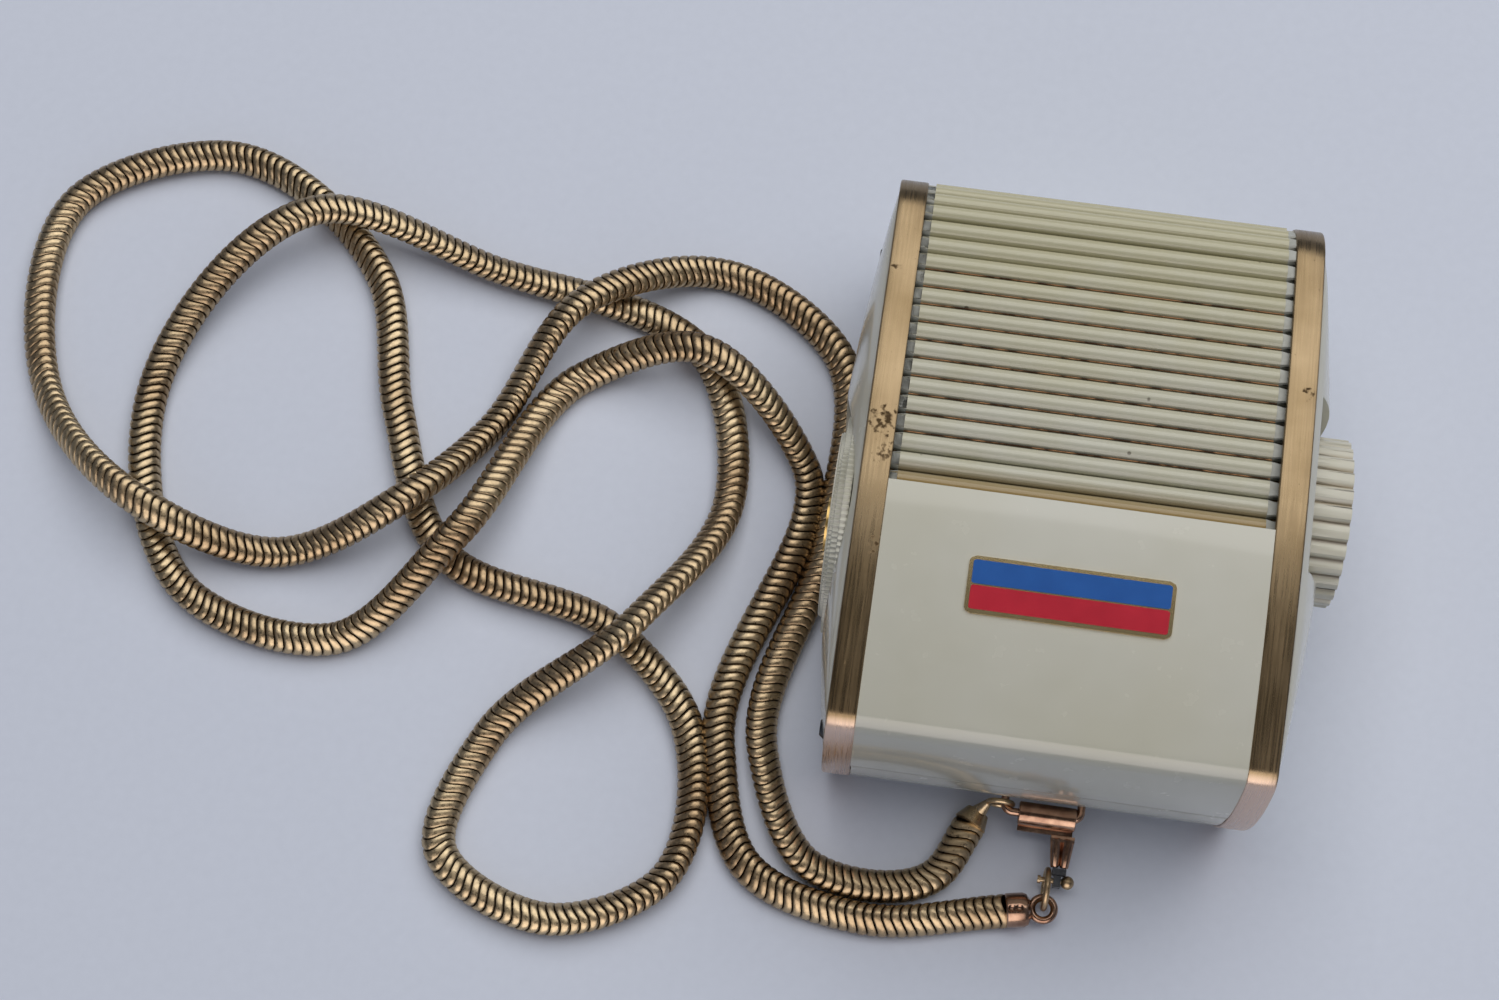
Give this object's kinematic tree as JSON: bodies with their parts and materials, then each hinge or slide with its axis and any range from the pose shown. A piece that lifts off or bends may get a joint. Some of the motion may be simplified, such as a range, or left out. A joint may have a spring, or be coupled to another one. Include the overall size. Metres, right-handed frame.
{
  "type": "exposure meter",
  "caption": "Pocket selenium light meter: rounded plastic case with metal bands, sliding slatted blind, side dial and knob, and a snake neck chain on a clasp.",
  "frame": {"origin": "centre of the flat back face the meter lies on", "axes": "+X across the case towards the knob, +Y along the case towards the blind end, +Z out of the front"},
  "size_m": [0.1532, 0.088, 0.0325],
  "materials": {
    "ivory_plastic": "gloss",
    "band_brass": "satin",
    "plate_steel": "satin",
    "dark_steel": "satin",
    "clear_plastic": "gloss",
    "printed_card": "matt",
    "badge_enamel": "gloss",
    "bakelite": "satin",
    "ribbon_brass": "satin",
    "selenium": "satin",
    "coil_copper": "satin",
    "needle_black": "matt",
    "clasp_brass": "polished, worn",
    "chain_brass": "aged, satin"
  },
  "bodies": {
    "case": {"front_shell": "ivory_plastic", "back_shell": "ivory_plastic", "left_band": "band_brass", "right_band": "band_brass", "left_plate": "plate_steel", "right_plate": "plate_steel", "left_face": "ivory_plastic", "right_face": "ivory_plastic", "scale_window": "clear_plastic", "scale_plate": "printed_card", "badge_plate": "band_brass", "badge_enamel": "badge_enamel", "face_screws": "dark_steel", "back_screws": "plate_steel", "tie_rods": "plate_steel", "pillars": "plate_steel", "deck": "bakelite", "terminal_strip": "bakelite", "corner_slats": "ivory_plastic", "end_ribbon": "ribbon_brass", "lens_panel": "clear_plastic", "cell_plate": "selenium", "cell_frame": "bakelite", "cell_contact": "ribbon_brass", "magnet": "dark_steel", "pole_core": "dark_steel", "front_bridge": "ribbon_brass", "rear_bridge": "ribbon_brass", "jewel_screws": "ribbon_brass", "disc_post": "ribbon_brass", "disc_screw": "ribbon_brass", "resistor_ring": "bakelite", "bail_wire": "clasp_brass", "jump_ring": "clasp_brass", "ferrule_a": "clasp_brass", "ferrule_b": "clasp_brass", "chain": "chain_brass"},
    "blind": {"blind_slats": "ivory_plastic", "blind_ribbon": "ribbon_brass"},
    "disc": {"calculator_disc": "ivory_plastic", "dial_insert": "band_brass"},
    "knob": {"film_knob": "ivory_plastic", "knob_cap": "band_brass", "knob_shaft": "plate_steel", "knob_clip": "plate_steel", "wiper_arm": "ribbon_brass"},
    "coil": {"moving_coil": "coil_copper", "pivot_staff": "plate_steel", "needle": "needle_black", "hairsprings": "ribbon_brass"},
    "zero": {"zero_screw": "plate_steel"},
    "clasp": {"clasp_barrel": "clasp_brass", "clasp_hook": "clasp_brass", "clasp_swivel": "clasp_brass", "clasp_pin": "clasp_brass"}
  },
  "joints": [
    {"name": "blind_slide", "type": "hinge", "parent": "case", "child": "blind", "pos_m": [0, 0.00515, -0.09561], "axis": [1, 0, 0], "range_deg": [0, 10]},
    {"name": "disc_turn", "type": "hinge", "parent": "case", "child": "disc", "pos_m": [-0.0245, -0.006, 0.0162], "axis": [-1, 0, 0], "continuous": true},
    {"name": "knob_turn", "type": "hinge", "parent": "case", "child": "knob", "pos_m": [0.0277, 0.0015, 0.0165], "axis": [1, 0, 0], "range_deg": [-135, 135]},
    {"name": "needle_swing", "type": "hinge", "parent": "case", "child": "coil", "pos_m": [-0.016, 0.005, 0.014], "axis": [1, 0, 0], "range_deg": [0, 36], "stiffness_Nm_per_rad": 0.00002},
    {"name": "zero_turn", "type": "hinge", "parent": "case", "child": "zero", "pos_m": [-0.008, 0.005, 0.001], "axis": [0, 0, 1], "range_deg": [-45, 45]},
    {"name": "clasp_swing", "type": "hinge", "parent": "case", "child": "clasp", "pos_m": [0.002, -0.0325, 0.0046], "axis": [1, 0, 0], "range_deg": [-3, 3]}
  ]
}
